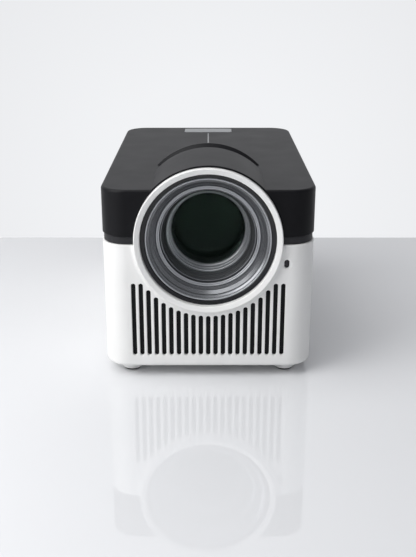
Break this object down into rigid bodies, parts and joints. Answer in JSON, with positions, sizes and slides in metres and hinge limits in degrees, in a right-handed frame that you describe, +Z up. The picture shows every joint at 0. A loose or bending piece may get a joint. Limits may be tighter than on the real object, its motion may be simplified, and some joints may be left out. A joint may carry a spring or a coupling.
{
  "type": "home projector",
  "caption": "Compact home projector: white case with a ring round a stepped lens mouth, slotted front, black cover with a half-round hump over the lens.",
  "frame": {"origin": "on the table, under the middle of the object's box", "axes": "the lens looks along -Y, +X is to the right seen from the front, +Z is up"},
  "size_m": [0.15, 0.252, 0.1565],
  "materials": {
    "white_shell": "fine satin moulded texture",
    "black_cover": "matte spark-eroded texture",
    "dark_trim": "matte",
    "gloss_trim": "gloss",
    "grey_key": "satin paint",
    "light_guide": "frosted",
    "circuit_board": "solder mask over glass fibre",
    "brass_parts": "machined",
    "lens_grey": "satin, fine turned rings",
    "vent_metal": "matte black, punched with fine holes",
    "optical_glass": "polished, coated",
    "inner_plastic": "as moulded",
    "acetal": "natural",
    "steel_parts": "zinc plated",
    "lcd": "polarised film on glass",
    "heat_metal": "extruded",
    "fan_plastic": "glass filled, as moulded",
    "speaker_paper": "pressed paper",
    "foot_rubber": "soft, matte"
  },
  "bodies": {
    "housing": {"lower_case": "white_shell", "seam_band": "dark_trim", "top_cover": "black_cover", "status_light_line": "light_guide", "key_board": "circuit_board", "tripod_insert": "brass_parts", "lens_trim_ring": "gloss_trim", "lens_hood": "lens_grey", "sensor_window": "gloss_trim", "vent_screen": "vent_metal", "lens_sleeve": "inner_plastic", "focus_motor": "steel_parts", "light_housing": "inner_plastic", "front_fresnel": "optical_glass", "lcd_panel": "lcd", "rear_fresnel": "optical_glass", "condenser_lens": "optical_glass", "led_board": "heat_metal", "heat_sink": "heat_metal", "fan_frame": "fan_plastic", "blower_housing": "fan_plastic", "air_duct": "inner_plastic", "speaker_frame_left": "steel_parts", "speaker_cone_left": "speaker_paper", "speaker_frame_right": "steel_parts", "speaker_cone_right": "speaker_paper", "rear_panel": "dark_trim", "video_socket": "steel_parts", "upper_usb_socket": "steel_parts", "lower_usb_socket": "steel_parts", "audio_jack": "dark_trim", "mains_inlet": "inner_plastic", "mains_pin_left": "brass_parts", "mains_pin_right": "brass_parts", "main_board": "circuit_board", "power_board": "circuit_board", "foot_front_left": "white_shell", "foot_pad_front_left": "foot_rubber", "cover_screw_front_left": "steel_parts", "foot_front_right": "white_shell", "foot_pad_front_right": "foot_rubber", "cover_screw_front_right": "steel_parts", "foot_rear_left": "white_shell", "foot_pad_rear_left": "foot_rubber", "cover_screw_rear_left": "steel_parts", "foot_rear_right": "white_shell", "foot_pad_rear_right": "foot_rubber", "cover_screw_rear_right": "steel_parts"},
    "lens_carriage": {"lens_barrel": "lens_grey", "front_lens": "optical_glass", "front_spacer": "dark_trim", "middle_lens": "optical_glass", "rear_spacer": "dark_trim", "rear_lens": "optical_glass", "retaining_ring": "brass_parts", "focus_rack": "acetal"},
    "focus_pinion": {"focus_pinion": "brass_parts"},
    "power_key": {"power_key": "grey_key"},
    "fan_rotor": {"fan_rotor": "fan_plastic"},
    "blower_impeller": {"blower_impeller": "fan_plastic"}
  },
  "joints": [
    {"name": "focus_slide", "type": "slide", "parent": "housing", "child": "lens_carriage", "axis": [0, -1, 0], "range_m": [-0.003, 0.0015]},
    {"name": "focus_pinion_turn", "type": "hinge", "parent": "housing", "child": "focus_pinion", "pos_m": [0.0398, -0.064, 0.1032], "axis": [0, 0, 1], "range_deg": [-36.31, 18.4]},
    {"name": "power_key_press", "type": "slide", "parent": "housing", "child": "power_key", "axis": [0, 0, -1], "range_m": [0, 0.0006], "stiffness_N_per_m": 500, "springref_m": -0.001},
    {"name": "fan_spin", "type": "hinge", "parent": "housing", "child": "fan_rotor", "pos_m": [-0.018, 0.1145, 0.056], "axis": [0, 1, 0], "continuous": true},
    {"name": "blower_spin", "type": "hinge", "parent": "housing", "child": "blower_impeller", "pos_m": [0, -0.014, 0.024], "axis": [0, 0, 1], "continuous": true}
  ],
  "couplings": [
    {"joint": "focus_pinion_turn", "follows": "focus_slide", "rad_per_m": 208.33}
  ]
}
